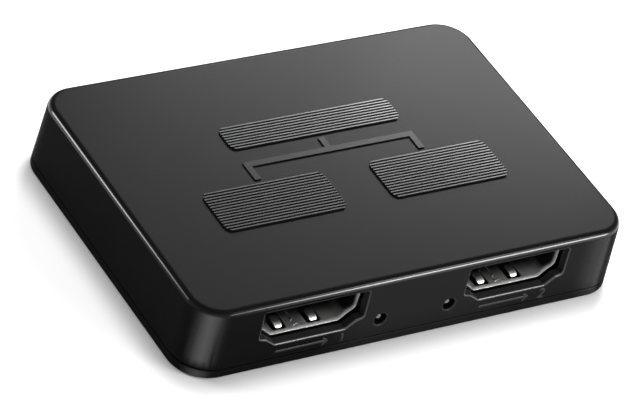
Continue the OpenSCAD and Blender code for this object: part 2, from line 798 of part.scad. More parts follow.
module power_socket_insulator() {
  under = power_floor + power_tongue_z;
  top = under + power_tongue_t;
  color(nylon) at_rear(power_x, power_mouth_y) difference() {
    union() {
      along_y(power_block_y, power_len, power_floor) polygon(power_outline(-fit_gap));
      block([-power_tongue_w / 2, power_tongue_front, under],
        [power_tongue_w / 2, power_block_y + power_block / 2, top]);
    }
    for (x = power_places()) block([x - contact_w / 2 - fit_gap, power_tongue_front + contact_start - fit_gap,
      under - contact_sink - fit_gap], [x + contact_w / 2 + fit_gap, power_len + over, under + contact_sink]);
  }
}

module power_socket_contacts() {
  color(brass) at_rear(power_x, power_mouth_y) for (x = power_places()) across(x, contact_w)
    polygon(stepped(power_tongue_front + contact_start, power_len + tail_gap,
      power_floor + power_tongue_z - contact_sink, contact_t, foot_len));
}

// Plastic body of a side-looking light, at the edge of the board
module light_body() {
  color(white) block([-light_w / 2, 0, 0], [light_w / 2, light_d, light_h]);
}

// Domed lens of a light
module light_lens() {
  color(lens_green) translate([0, 0, lens_z]) rotate([90, 0, 0]) {
    cylinder(d = lens_d, h = lens_tip - lens_d / 2);
    translate([0, 0, lens_tip - lens_d / 2]) sphere(d = lens_d);
  }
}

module output_1_light_body() { at_front(-light_x, light_y) light_body(); }
module output_1_light_lens() { at_front(-light_x, light_y) light_lens(); }
module output_2_light_body() { at_front(light_x, light_y) light_body(); }
module output_2_light_lens() { at_front(light_x, light_y) light_lens(); }
module power_light_body() { at_rear(power_light_x, light_y) light_body(); }
module power_light_lens() { at_rear(power_light_x, light_y) light_lens(); }

// Row of stepped leads along one side of a chip body
module lead_row(n, pitch, edge, w, z) {
  for (k = [0:n - 1]) across((k - (n - 1) / 2) * pitch, w)
    polygon(stepped(edge, edge + lead_run, z, lead_t, lead_foot));
}

module splitter_chip() {
  color(epoxy) on_board(chip_at) plate(chip_lift, chip_lift + chip_h) square(chip_w, center = true);
}

module splitter_chip_leads() {
  color(steel) on_board(chip_at) for (a = [0:90:270]) rotate(a)
    lead_row(chip_pins, chip_pitch, chip_w / 2, lead_w, lead_z);
}

module memory_chip() {
  color(epoxy) on_board(memory_at) plate(chip_lift, chip_lift + small_chip_h)
    square([memory_l, memory_w], center = true);
}

module memory_chip_leads() {
  color(steel) on_board(memory_at) for (a = [0, 180]) rotate(a)
    lead_row(memory_pins, memory_pitch, memory_w / 2, wide_lead_w, lead_z);
}

module regulator() {
  color(epoxy) on_board(regulator_at) plate(chip_lift, chip_lift + small_chip_h)
    square([regulator_l, regulator_w], center = true);
}

module regulator_leads() {
  color(steel) on_board(regulator_at) {
    lead_row(3, regulator_pitch, regulator_w / 2, wide_lead_w, lead_z);
    rotate(180) lead_row(1, regulator_pitch, regulator_w / 2, regulator_tab, lead_z);
  }
}

module crystal_base() {
  color(tan_ceramic) on_board(crystal_at) plate(0, crystal_h) square([crystal_l, crystal_w], center = true);
}

module crystal_lid() {
  inner = [crystal_l - 2 * crystal_step, crystal_w - 2 * crystal_step];
  color(steel) on_board(crystal_at) plate(crystal_h, crystal_h + crystal_lid_h) square(inner, center = true);
}

module power_inductor() {
  color(epoxy) on_board(coil_at) plate(0, coil_h) polygon(rounded(oblong(coil_w, coil_w), coil_w / 8));
}

module power_inductor_ends() {
  color(steel) on_board(coil_at) for (a = [0, 180]) rotate(a)
    block([coil_w / 2, -coil_end_w / 2, 0], [coil_w / 2 + coil_end_t, coil_end_w / 2, coil_end_h]);
}

module bulk_capacitor_bases() {
  color(nylon) for (at = can_at) on_board(at) plate(0, can_base_h) square(can_base_w, center = true);
}

module bulk_capacitor_cans() {
  r = can_d / 2;
  color(steel) for (at = can_at) on_board(at) translate([0, 0, can_base_h]) rotate_extrude()
    polygon([[0, 0], [r, 0], [r, can_groove], [r - can_groove, 2 * can_groove], [r, 3 * can_groove],
      [r, can_h - can_groove], [r - can_groove, can_h], [0, can_h]]);
}

// Columns of capacitors beside the splitter chip
module at_capacitors() {
  for (s = [-1, 1], k = [-2:2])
    on_board([chip_at[0] + s * capacitor_column, chip_at[1] + k * capacitor_gap]) children();
}

// Rows of resistors behind the output sockets
module at_resistors() {
  y = -mouth_y + tail_y + foot_len + resistor_row;
  for (x = outlets, k = [-1:1])
    on_board([x + k * resistor_gap, y]) rotate(90) children();
}

// Middle of a chip capacitor or resistor
module passive_middle(h) {
  plate(0, h) square([passive_l - 2 * passive_end, passive_w], center = true);
}

// Metal ends of a chip capacitor or resistor
module passive_ends(h) {
  for (s = [-1, 1]) translate([s * (passive_l - passive_end) / 2, 0, 0])
    plate(0, h) square([passive_end, passive_w], center = true);
}

module chip_capacitors() { color(tan_ceramic) at_capacitors() passive_middle(capacitor_h); }
module chip_capacitor_ends() { color(steel) at_capacitors() passive_ends(capacitor_h); }
module chip_resistors() { color(epoxy) at_resistors() passive_middle(resistor_h); }
module chip_resistor_ends() { color(steel) at_resistors() passive_ends(resistor_h); }

module surge_arrays() {
  color(epoxy) at_inputs_and_outputs() for (s = [-1, 1])
    translate([s * surge_spread, tail_y + foot_len + surge_gap, 0])
      plate(0, surge_h) square([surge_l, surge_w], center = true);
}

top_cover();
bottom_cover();
case_screws();
main_board();
output_1_socket_shell();
output_1_socket_insulator();
output_1_socket_contacts();
output_1_lower_springs();
output_1_upper_springs();
output_2_socket_shell();
output_2_socket_insulator();
output_2_socket_contacts();
output_2_lower_springs();
output_2_upper_springs();
input_socket_shell();
input_socket_insulator();
input_socket_contacts();
input_lower_springs();
input_upper_springs();
power_socket_shell();
power_socket_insulator();
power_socket_contacts();
output_1_light_body();
output_1_light_lens();
output_2_light_body();
output_2_light_lens();
power_light_body();
power_light_lens();
splitter_chip();
splitter_chip_leads();
memory_chip();
memory_chip_leads();
regulator();
regulator_leads();
crystal_base();
crystal_lid();
power_inductor();
power_inductor_ends();
bulk_capacitor_bases();
bulk_capacitor_cans();
chip_capacitors();
chip_capacitor_ends();
chip_resistors();
chip_resistor_ends();
surge_arrays();
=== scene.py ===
"""Looks of a two-output video splitter: a flat black moulded case with three video sockets, a power
socket and status lights. The file is laid out as an add-on and is run as a script."""

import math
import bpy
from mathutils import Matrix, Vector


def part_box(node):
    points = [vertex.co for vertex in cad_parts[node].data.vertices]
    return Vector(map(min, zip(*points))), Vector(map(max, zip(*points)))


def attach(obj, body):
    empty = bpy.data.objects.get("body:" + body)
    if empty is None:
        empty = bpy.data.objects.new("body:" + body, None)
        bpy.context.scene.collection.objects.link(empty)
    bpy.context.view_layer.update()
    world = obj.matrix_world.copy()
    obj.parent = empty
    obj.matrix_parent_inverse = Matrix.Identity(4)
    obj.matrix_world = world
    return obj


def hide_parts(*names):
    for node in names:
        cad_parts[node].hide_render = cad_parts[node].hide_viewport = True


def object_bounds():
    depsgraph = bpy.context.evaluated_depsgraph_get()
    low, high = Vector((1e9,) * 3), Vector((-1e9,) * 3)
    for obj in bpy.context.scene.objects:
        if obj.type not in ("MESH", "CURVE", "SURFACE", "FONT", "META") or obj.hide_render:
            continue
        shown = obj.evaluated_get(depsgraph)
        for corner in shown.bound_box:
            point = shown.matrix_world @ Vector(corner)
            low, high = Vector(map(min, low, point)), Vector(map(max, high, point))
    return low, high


bl_info = {
    "name": "Two-output video splitter",
    "version": (1, 0, 0),
    "blender": (4, 5, 0),
    "location": "3D View > Sidebar > Splitter",
    "description": "Dresses the solids of a two-output video splitter",
    "category": "Object",
}

import bmesh
import bpy
import numpy as np
from bpy.props import FloatProperty, FloatVectorProperty, PointerProperty
from mathutils import Matrix, Vector

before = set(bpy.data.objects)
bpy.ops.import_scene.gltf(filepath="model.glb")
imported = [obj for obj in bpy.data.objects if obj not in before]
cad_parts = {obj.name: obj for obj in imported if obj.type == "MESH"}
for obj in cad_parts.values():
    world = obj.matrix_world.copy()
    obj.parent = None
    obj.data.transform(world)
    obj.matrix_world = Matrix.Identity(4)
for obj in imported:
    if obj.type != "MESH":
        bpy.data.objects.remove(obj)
CAD_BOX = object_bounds()
MM = 0.001
# The rounding of the top edge starts above this height, and the cut-outs end below it.
TOP_EDGE = 9.3 * MM
# The cut-outs start above this height, and end within this distance of the middle of their wall.
CUTS_LOW, CUTS_END = 2.2 * MM, 25 * MM
# The light holes lie within this distance of the middle, and the output sockets beyond it.
LIGHTS_END = 7.3 * MM
# Steps in each rounded corner of a socket's outline.
ARC_STEPS = 6


def linear(code):
    """Linear red, green and blue of an sRGB hex colour."""
    c = np.array([int(code[k : k + 2], 16) for k in (1, 3, 5)]) / 255
    return tuple(np.where(c <= 0.04045, c / 12.92, ((c + 0.055) / 1.055) ** 2.4))


def size_of(length, name, description):
    """Length property whose default is given in millimetres."""
    return FloatProperty(name=name, description=description, default=length * MM, unit="LENGTH", precision=5)


def angle_of(degrees, name, description):
    """Angle property whose default is given in degrees."""
    return FloatProperty(name=name, description=description, default=math.radians(degrees), subtype="ANGLE")


def colour_of(code, name, description):
    """Colour property whose default is an sRGB hex colour."""
    return FloatVectorProperty(
        name=name, description=description, default=linear(code), subtype="COLOR", min=0, max=1
    )


class SPLITTER_PG_case(bpy.types.PropertyGroup):
    plastic: colour_of("#131314", "Plastic", "Colour of the moulded case")
    # The cut colour is paler than the plastic: painted light on the shaded faces inside the cut-outs.
    cut: colour_of("#333334", "Cut face", "Colour of the plastic inside a cut-out")
    port_edge: size_of(0.2, "Cut-out edge", "Radius on the edges of the cut-outs and light holes")
    corner: size_of(5, "Corner", "Corner radius of the case")
    base_edge: size_of(0.4, "Base edge", "Radius of the lower edge")
    draft: angle_of(3, "Draft", "Lean of the case walls")
    mark_height: size_of(1.3, "Mark height", "Height of the numerals beside the outputs")
    mark_stroke: size_of(0.34, "Mark stroke", "Width of the strokes of the marks")
    mark_relief: size_of(0.06, "Mark relief", "How far the marks stand out of the wall")


class SPLITTER_PG_socket(bpy.types.PropertyGroup):
    sheet: colour_of("#c8c8c7", "Sheet", "Colour of the nickel plate near the mouth")
    # The inside colour is a painted shade: it darkens the plate deep in a shell, away from the mouth.
    inside: colour_of("#2e2e2f", "Inside", "Colour of the dull plate inside the shell")
    bright: colour_of("#f3f3f1", "Bright plate", "Colour of the bright plate on edges and fingers")
    width: size_of(14, "Width", "Width of the socket opening")
    height: size_of(4.55, "Height", "Height of the socket opening")
    flat: size_of(10, "Flat", "Width of the flat floor")
    knee_run: size_of(1.05, "Knee run", "Run of the slanted sides from the floor to their knee")
    knee_rise: size_of(1, "Knee rise", "Height of the knee")
    rise: size_of(1.6, "Rise", "Height at which the slanted sides meet the upright sides")
    corner: size_of(0.7, "Corner", "Corner radius inside the opening")
    gauge: size_of(0.3, "Gauge", "Thickness of the sheet")
    depth: size_of(10.8, "Depth", "Length of the shell")
    flare: size_of(0.12, "Flare", "Outward flare of the mouth")
    flare_depth: size_of(0.45, "Flare depth", "Depth of the flare")
    finger_width: size_of(1.1, "Finger width", "Width of a sprung finger")
    finger_length: size_of(5, "Finger length", "Length of a sprung finger")
    finger_gauge: size_of(0.22, "Finger gauge", "Thickness of a sprung finger")
    finger_crest: size_of(1.05, "Finger crest", "Distance of the crest from the tip")
    finger_rise: size_of(0.42, "Finger rise", "Height of the crest above the sheet")
    finger_front: size_of(0.75, "Finger front", "Depth of the tip behind the mouth")
    finger_pitch: size_of(5.1, "Finger pitch", "Distance between the two fingers of a wall")
    finger_shift: size_of(-0.8, "Finger shift", "Sideways offset of the lower pair")
    finger_gap: size_of(0.55, "Finger gap", "Clearance beside a finger")
    window_corner: size_of(0.4, "Window corner", "Corner radius at the front of a finger's window")


class SPLITTER_PG_stage(bpy.types.PropertyGroup):
    floor: colour_of("#f4f4f4", "Floor", "Colour of the floor")
    aim: FloatVectorProperty(
        name="Aim",
        description="Point that the camera looks at",
        default=(-3.381 * MM, -3.255 * MM, 7 * MM),
        subtype="TRANSLATION",
    )
    distance: size_of(505.135, "Distance", "Distance of the camera from its aim")
    azimuth: angle_of(-40.816, "Azimuth", "Turn of the camera round the case")
    elevation: angle_of(37.958, "Elevation", "Height angle of the camera")
    roll: angle_of(16.686, "Roll", "Turn of the camera about its view")
    lens: FloatProperty(name="Lens", description="Focal length", default=221.04, subtype="DISTANCE_CAMERA")


# Node and mesh helpers


def add(tree, kind, inputs=None, **settings):
    """Add a node, apply its settings, and fill its inputs with values or with links to other outputs."""
    node = tree.nodes.new(kind)
    for key, value in settings.items():
        setattr(node, key, value)
    for key, value in (inputs or {}).items():
        if isinstance(value, bpy.types.NodeSocket):
            tree.links.new(value, node.inputs[key])
        else:
            node.inputs[key].default_value = value
    return node


def calc(tree, operation, *values):
    """Result of a math node on values or other outputs."""
    return add(tree, "ShaderNodeMath", dict(enumerate(values)), operation=operation).outputs[0]


def blend(tree, factor, first, second):
    """Colour between two: the first where the factor is 0, the second where it is 1."""
    return add(tree, "ShaderNodeMix", {0: factor, 6: first, 7: second}, data_type="RGBA").outputs[2]


def noise(tree, place, scale, detail):
    """Noise about one half, with the given number of grains in a unit of the place."""
    return add(tree, "ShaderNodeTexNoise", {"Vector": place, "Scale": scale, "Detail": detail}).outputs["Fac"]


def uneven(tree, grains, roughness, share):
    """Roughness that a noise moves up and down by a share of it."""
    ends = {"To Min": roughness * (1 - share), "To Max": roughness * (1 + share)}
    limits = {"Value": grains, "From Min": 0.3, "From Max": 0.7, **ends}
    return add(tree, "ShaderNodeMapRange", limits).outputs["Result"]


def fresh_material(name):
    """Empty material with its node tree and output."""
    material = bpy.data.materials.new(name)
    material.use_nodes = True
    tree = material.node_tree
    tree.nodes.clear()
    return material, tree, add(tree, "ShaderNodeOutputMaterial")


def moulded(name, colour, roughness, grain, depth, specular=0.5, spread=0.12, coat=0.0):
    """Moulded or fired stuff: its colour varies by spread with a slow noise, and a fine noise of the given
    grain, in metres, varies its roughness and dents it by depth. The coat is a smooth skin: a weight, the
    name of the attribute that holds it, or a function that builds it from the place."""
    material, tree, out = fresh_material(name)
    place = add(tree, "ShaderNodeTexCoord").outputs["Object"]
    slow, fine = noise(tree, place, 0.05 / grain, 2.0), noise(tree, place, 1 / grain, 3.0)
    if isinstance(coat, str):
        coat = add(tree, "ShaderNodeAttribute", attribute_name=coat).outputs["Fac"]
    elif callable(coat):
        coat = coat(tree, place)
    dark = tuple(c * (1 - spread) for c in colour) + (1,)
    light = tuple(min(1, c * (1 + spread)) for c in colour) + (1,)
    dent = add(tree, "ShaderNodeBump", {"Height": fine, "Strength": 1.0, "Distance": depth})
    shader = add(
        tree,
        "ShaderNodeBsdfPrincipled",
        {
            "Base Color": blend(tree, slow, dark, light),
            "Roughness": uneven(tree, fine, roughness, 0.1),
            "Normal": dent.outputs["Normal"],
            "Specular IOR Level": specular,
            "Coat Weight": coat,
            "Coat Roughness": 0.17,
            "Coat IOR": 1.7,
        },
    )
    tree.links.new(shader.outputs[0], out.inputs[0])
    return material


def plated(name, colour, roughness, streak, along, inner=None):
    """Rolled and plated metal: streaks of the given width, in metres, stretched along one axis, vary its
    roughness and scratch it lightly. An inner colour, a painted shade deep in a recess, shows where the
    attribute of wear and shade is low."""
    material, tree, out = fresh_material(name)
    place = add(tree, "ShaderNodeTexCoord").outputs["Object"]
    scale = [1 / streak] * 3
    scale[along] = 0.04 / streak
    laid = add(tree, "ShaderNodeMapping", {"Vector": place, "Scale": scale})
    lines, cloud = noise(tree, laid.outputs[0], 1.0, 3.0), noise(tree, place, 400.0, 2.0)
    dull = tuple(c * 0.9 for c in colour) + (1,)
    tone = blend(tree, cloud, dull, tuple(colour) + (1,))
    # The inner colour paints shade deep in a recess; the plate's own tone stays where it is rubbed bright.
    if inner:
        worn_and_shaded = add(tree, "ShaderNodeAttribute", attribute_name="worn_and_shaded").outputs["Fac"]
        tone = blend(tree, worn_and_shaded, tuple(inner) + (1,), tone)
    scratch = add(tree, "ShaderNodeBump", {"Height": lines, "Strength": 0.5, "Distance": streak * 0.02})
    shader = add(
        tree,
        "ShaderNodeBsdfPrincipled",
        {
            "Base Color": tone,
            "Metallic": 1.0,
            "Roughness": uneven(tree, lines, roughness, 0.15),
            "Normal": scratch.outputs["Normal"],
        },
    )
    tree.links.new(shader.outputs[0], out.inputs[0])
    return material


def front_polish(tree, place):
    """Polish of the walls: the attribute handled, or, where it is more, a polish of the front wall that rises
    and falls in smooth steps, and is most at the right end, where hands and leads rub it."""

    def step(value, start, end, top):
        """Smooth step from 0 at start to top at end, both in millimetres."""
        limits = {"Value": value, "From Min": start * MM, "From Max": end * MM, "To Max": top}
        return add(tree, "ShaderNodeMapRange", limits, interpolation_type="SMOOTHSTEP").outputs["Result"]

    x, y, z = add(tree, "ShaderNodeSeparateXYZ", {0: place}).outputs
    rubbed = calc(tree, "ADD", step(x, -15, -7, 0.125), step(x, 8, 16, -0.045))
    rubbed = calc(tree, "ADD", rubbed, step(x, 24.5, 29, 0.27))
    # Only the outer face of the front wall is rubbed: upright places are told by where they meet the ground.
    lean = -math.tan(bpy.context.scene.splitter_case.draft)
    foot = calc(tree, "MULTIPLY_ADD", z, lean, y)
    rubbed = calc(tree, "MULTIPLY", rubbed, step(foot, -22.72, -22.99, 1))
    # The sides of the relief on the top aren't polished.
    handled = add(tree, "ShaderNodeAttribute", attribute_name="handled").outputs["Fac"]
    handled = calc(tree, "MULTIPLY", handled, step(z, 10.45, 10.4, 1))
    return calc(tree, "MAXIMUM", rubbed, handled)


def seen_rays(tree):
    """1 for rays of the camera, of reflections and of refractions, and 0 for those that only light."""
    rays = add(tree, "ShaderNodeLightPath").outputs
    seen = calc(tree, "MAXIMUM", rays["Is Camera Ray"], rays["Is Glossy Ray"])
    return calc(tree, "MAXIMUM", seen, rays["Is Transmission Ray"])


def grid_faces(rows, columns, closed=False):
    """Quads of a grid as an array of four vertex numbers each, in row order. In a closed grid the last
    column joins the first."""
    r = np.arange(rows - 1)[:, None] * columns
    c = np.arange(columns if closed else columns - 1)[None, :]
    c1 = (c + 1) % columns
    quads = np.broadcast_arrays(r + c, r + c1, r + columns + c1, r + columns + c)
    return np.stack(quads, -1).reshape(-1, 4)


def piece(name, points, faces, material, slot, body="root"):
    """Object from an array of points in metres and an array of quads, riding on a body."""
    mesh = bpy.data.meshes.new(name)
    mesh.from_pydata(points.reshape(-1, 3).tolist(), [], faces.tolist())
    mesh.validate()
    mesh.shade_smooth()
    mesh.materials.append(material)
    thing = bpy.data.objects.new(name, mesh)
    bpy.context.scene.collection.objects.link(thing)
    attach(thing, body)
    return thing


def weld(thing):
    """Merge the points of a piece that lie on each other, so that its poles close."""
    shape = bmesh.new()
    shape.from_mesh(thing.data)
    bmesh.ops.remove_doubles(shape, verts=shape.verts, dist=0.0001 * MM)
    shape.to_mesh(thing.data)
    shape.free()


def joined(parts):
    """Points and quads of several surfaces, given as (points, quads) pairs, as one pair."""
    starts = np.cumsum([0] + [p.reshape(-1, 3).shape[0] for p, q in parts[:-1]])
    return (
        np.concatenate([p.reshape(-1, 3) for p, q in parts]),
        np.concatenate([q + s for (p, q), s in zip(parts, starts)]),
    )


def thicken(thing, gauge, edge, rim=None):
    """Give a sheet its thickness on the side away from its faces, and ease its edges, in another material
    where one is given."""
    wall = thing.modifiers.new("gauge", "SOLIDIFY")
    wall.thickness, wall.offset, wall.use_even_offset = gauge, -1, True
    ease = thing.modifiers.new("eased edges", "BEVEL")
    ease.width, ease.segments, ease.limit_method, ease.angle_limit = edge, 3, "ANGLE", math.radians(50)
    if rim:
        thing.data.materials.append(rim)
        ease.material = wall.material_offset_rim = 1
    shade_evenly(thing)


def dress(material, *nodes):
    """Put a material on CAD nodes."""
    for node in nodes:
        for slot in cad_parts[node].material_slots:
            slot.material = material


def values_of(items, key):
    """Three values of each vertex or face as an array."""
    values = np.empty(len(items) * 3)
    items.foreach_get(key, values)
    return values.reshape(-1, 3)


def merged_copy(node, name, materials, slot, skin, sort):
    """Copy of a CAD node with its doubled corners merged and its flat faces whole, so that it shades
    smoothly. skin() gives an attribute of the vertices, and sort() the material number of each face, from
    their places and normals."""
    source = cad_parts[node].data
    corners = np.empty(len(source.loops), int)
    source.loops.foreach_get("vertex_index", corners)
    copy = piece(name, values_of(source.vertices, "co"), corners.reshape(-1, 3), materials[0], slot)
    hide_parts(node)
    mesh = copy.data
    shape = bmesh.new()
    shape.from_mesh(mesh)
    bmesh.ops.remove_doubles(shape, verts=shape.verts, dist=0.002 * MM)
    bmesh.ops.dissolve_limit(shape, angle_limit=math.radians(0.4), verts=shape.verts, edges=shape.edges)
    # The polish of the front edge is full from about here on: new points let it stop growing.
    polish_full = (-6.5 * MM, 0, 0)
    whole = shape.verts[:] + shape.edges[:] + shape.faces[:]
    bmesh.ops.bisect_plane(shape, geom=whole, plane_co=polish_full, plane_no=(1, 0, 0))
    shape.to_mesh(mesh)
    shape.free()
    mesh.shade_smooth()
    mesh.set_sharp_from_angle(angle=math.radians(35))
    handled = mesh.attributes.new("handled", "FLOAT", "POINT")
    polish = skin(values_of(mesh.vertices, "co"), values_of(mesh.vertices, "normal"))
    handled.data.foreach_set("value", polish)
    for material in materials[1:]:
        mesh.materials.append(material)
    numbers = sort(values_of(mesh.polygons, "center"), values_of(mesh.polygons, "normal"))
    mesh.polygons.foreach_set("material_index", numbers.astype(np.int32))
    return copy


def ease_edges(thing, picked, radius, material, polish):
    """Round the sharp edges of a piece that picked() takes, and give the new faces a material of their own,
    with the attribute trimmed from polish()."""
    mesh = thing.data
    ends = np.empty(len(mesh.edges) * 2, int)
    mesh.edges.foreach_get("vertices", ends)
    sharp = np.empty(len(mesh.edges), bool)
    mesh.attributes["sharp_edge"].data.foreach_get("value", sharp)
    places = values_of(mesh.vertices, "co")
    chosen = sharp & picked(places[ends.reshape(-1, 2)])
    weight = mesh.attributes.new("bevel_weight_edge", "FLOAT", "EDGE")
    weight.data.foreach_set("value", chosen.astype(float))
    trimmed = mesh.attributes.new("trimmed", "FLOAT", "POINT")
    trimmed.data.foreach_set("value", polish(places))
    mesh.materials.append(material)
    ease = thing.modifiers.new("eased edges", "BEVEL")
    ease.width, ease.segments, ease.limit_method = radius, 3, "WEIGHT"
    ease.use_clamp_overlap = ease.loop_slide = False
    ease.material = len(mesh.materials) - 1


def shade_evenly(thing):
    """Let the larger faces set the shading of a piece."""
    thing.modifiers.new("even shading", "WEIGHTED_NORMAL").keep_sharp = True


def ramp(value, start, end):
    """Smooth step from 0 at start to 1 at end."""
    t = np.clip((value - start) / (end - start), 0, 1)
    return t * t * (3 - 2 * t)


def paint_wear_and_shade(thing, depth, start, end):
    """Attribute of a piece's wear and painted shade: 1 to the depth start, where it is rubbed bright, and
    falling smoothly to 0 at the depth end, where the inner colour paints shade.
    """
    worn_and_shaded = thing.data.attributes.new("worn_and_shaded", "FLOAT", "POINT")
    worn_and_shaded.data.foreach_set("value", 1 - ramp(depth.ravel(), start, end))


class SPLITTER_OT_case(bpy.types.Operator):
    """Give the two covers a smooth moulded surface with eased cut-outs"""

    bl_idname = "splitter.case"
    bl_label = "Case covers"

    def execute(self, context):
        case = context.scene.splitter_case
        black = case.plastic
        # Black ABS from a fine spark-eroded mould: a dull sheen that brightens softly towards the back right
        # of the top. The real grain is near 0.05 mm and is drawn at 0.2 mm so that it shows.
        plastic = moulded(
            "black ABS, fine matt mould", black, 0.25, 0.2 * MM, 0.002 * MM, specular=0.06, coat="handled"
        )
        # The same plastic on the walls and the steep faces, where the mould's grain is coarser: nearly black,
        # with brighter lines along the top edge and the gripped corners, which handling has burnished.
        coarse = moulded(
            "black ABS, coarse matt mould",
            black,
            0.58,
            0.25 * MM,
            0.004 * MM,
            specular=0.012,
            coat=front_polish,
        )
        # The same plastic in the thickness of the wall round a cut-out, painted paler: painted light on these
        # shaded faces.
        cut = moulded("black ABS, cut face", case.cut, 0.5, 0.2 * MM, 0.003 * MM, specular=0.06)
        # The same plastic where a blade has trimmed the edge of a cut-out: smooth, so it shines.
        trimmed = moulded(
            "black ABS, trimmed edge", black, 0.3, 0.2 * MM, 0.001 * MM, specular=0.06, coat="trimmed"
        )
        covers = (plastic, coarse, cut)
        lean = math.tan(case.draft)
        low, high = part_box("bottom_cover")
        half = np.array([high.x, high.y]) + case.base_edge * lean

        def skin(places, normals):
            """Polish of the outer skin. The rounded top edge has it where the normal rises 28 to 40 degrees,
            least at the front left corner and growing from there along the front and left edges. On the
            upright left corners it is a bell curve of the bearing. The crests of the ridged pads have some
            too, and the lines between the pads, in a band across the top, a little."""
            least, growth = 0.08, 26 * MM
            corner_at, corner_spread = 37, 10
            band_at, band_half, line_polish, ridge_polish = 1.7 * MM, 3 * MM, 0.15, 0.65
            crest_depth, skin_depth = 0.08 * MM, 1.05 * MM
            inset = np.abs(places[:, :2]) - (half - case.corner - places[:, 2:] * lean)
            depth = np.hypot(*np.maximum(inset, 0).T) + np.minimum(inset.max(1), 0) - case.corner
            rise = np.degrees(np.arcsin(np.clip(normals[:, 2], -1, 1)))
            edge = ramp(rise, 18, 28) * (1 - ramp(rise, 40, 51)) * (places[:, 2] > TOP_EDGE)
            edge *= least + (1 - least) * ramp((places[:, :2] + half).max(1), 0, growth)
            bearing = np.degrees(np.arctan2(*np.maximum(inset, 0).T))
            upright = np.exp(-(((bearing - corner_at) / corner_spread) ** 2) / 2)
            upright *= (1 - ramp(np.abs(rise), 10, 40)) * (places[:, 0] < 0)
            crest = np.where(np.abs(places[:, 1] - band_at) < band_half, line_polish, ridge_polish)
            crest *= places[:, 2] > CAD_BOX[1][2] - crest_depth
            return np.maximum(edge, upright) * (depth > -skin_depth) + crest

        def by_cuts(x, z):
            """Whether places are in the stretch of wall that holds the cut-outs."""
            return (np.abs(x) < CUTS_END) & (z > CUTS_LOW) & (z < TOP_EDGE)

        def sort(places, normals):
            """Number of each face's material: 0 for faces that look up within 15 degrees, 2 in the thickness
            of the wall round a cut-out beyond the light holes, and 1 elsewhere."""
            x, y, z = np.abs(places).T
            wall_middle, wall_half = 0.7 * MM, 0.65 * MM
            wall = np.abs(y - (half[1] - z * lean) + wall_middle) < wall_half
            inside = wall & (np.abs(normals[:, 1]) < 0.5) & (x > LIGHTS_END) & by_cuts(x, z)
            return np.where(inside, 2, normals[:, 2] < math.cos(math.radians(15)))

        def cut_edges(ends):
            """Edges with both ends on the front or rear wall, between the corners and below the top edge."""
            x, y, z = np.moveaxis(ends, -1, 0)
            off = np.abs(np.abs(y) - (half[1] - z * lean))
            return ((off < 0.01 * MM) & by_cuts(x, z)).all(1)

        def blade(places):
            """Polish of the trimmed edges: full below the middle of a socket, half above it, and least near
            the middle of the wall, at the drilled light holes."""
            ports = 1 - 0.5 * ramp(places[:, 2], 4.5 * MM, 6 * MM)
            return np.where(np.abs(places[:, 0]) < LIGHTS_END, 0.25, ports)

        top = merged_copy("top_cover", "top_cover_moulding", covers, "case_plastic", skin, sort)
        ease_edges(top, cut_edges, case.port_edge, trimmed, blade)
        shade_evenly(top)
        base = merged_copy("bottom_cover", "bottom_cover_moulding", covers, "case_plastic", skin, sort)
        shade_evenly(base)
        return {"FINISHED"}


def unit(vectors):
    """Vectors, one to a row, brought to length 1."""
    return vectors / np.linalg.norm(vectors, axis=1)[:, None]


def run_of(path):
    """Distance of each point of a polyline from its start."""
    return np.concatenate([[0], np.cumsum(np.linalg.norm(np.diff(path, axis=0), axis=1))])


def stroke(path, width, height):
    """Raised stroke along a flat path: at each path point a half ellipse stands across the path, and at both
    ends it shrinks on a circle to a point over half a width. Points are (x, z, height above the wall)."""
    ahead = np.roll(path, -1, 0) - np.roll(path, 1, 0)
    ahead[0], ahead[-1] = path[1] - path[0], path[-1] - path[-2]
    ahead = unit(ahead)
    side = np.stack([ahead[:, 1], -ahead[:, 0]], 1)
    run = run_of(path)
    reach = np.clip(np.minimum(run, run[-1] - run) / (width / 2), 0, 1)
    scale = np.sqrt(1 - (1 - reach) ** 2)
    turn = np.linspace(0, math.pi, 9)
    flat = path[:, None] + side[:, None] * (np.cos(turn)[None, :, None] * scale[:, None, None] * width / 2)
    lift = np.sin(turn)[None, :] * scale[:, None] * height
    points = np.concatenate([flat, lift[..., None]], 2)
    return points, grid_faces(len(path), len(turn), closed=True)[:, ::-1]


def finer(path, step):
    """Points every step along a polyline."""
    run = run_of(path)
    at = np.linspace(0, run[-1], max(3, int(run[-1] / step) + 1))
    return np.stack([np.interp(at, run, path[:, 0]), np.interp(at, run, path[:, 1])], 1)


def numeral_paths(digit, height):
    """Centre lines of a plain 1 or 2 of the given height, its foot at zero."""
    h = height
    if digit == 1:
        return [np.array([[0, 0], [0, h]]), np.array([[-0.01 * h, 0.99 * h], [-0.22 * h, 0.78 * h]])]
    a = np.radians(np.linspace(165, -38, 24))
    bow = np.stack([0.27 * h * np.cos(a), 0.72 * h + 0.27 * h * np.sin(a)], 1)
    return [np.concatenate([bow, [[-0.3 * h, 0], [0.31 * h, 0]]])]


def arrow_paths(height):
    """Centre lines of a long arrow that points to a numeral on its right."""
    h = height
    shaft = np.array([[-3.8, 0.5], [2.1, 0.5]]) * h
    head = np.array([[1.55, 0.95], [2.1, 0.5], [1.55, 0.05]]) * h
    return [shaft, head]


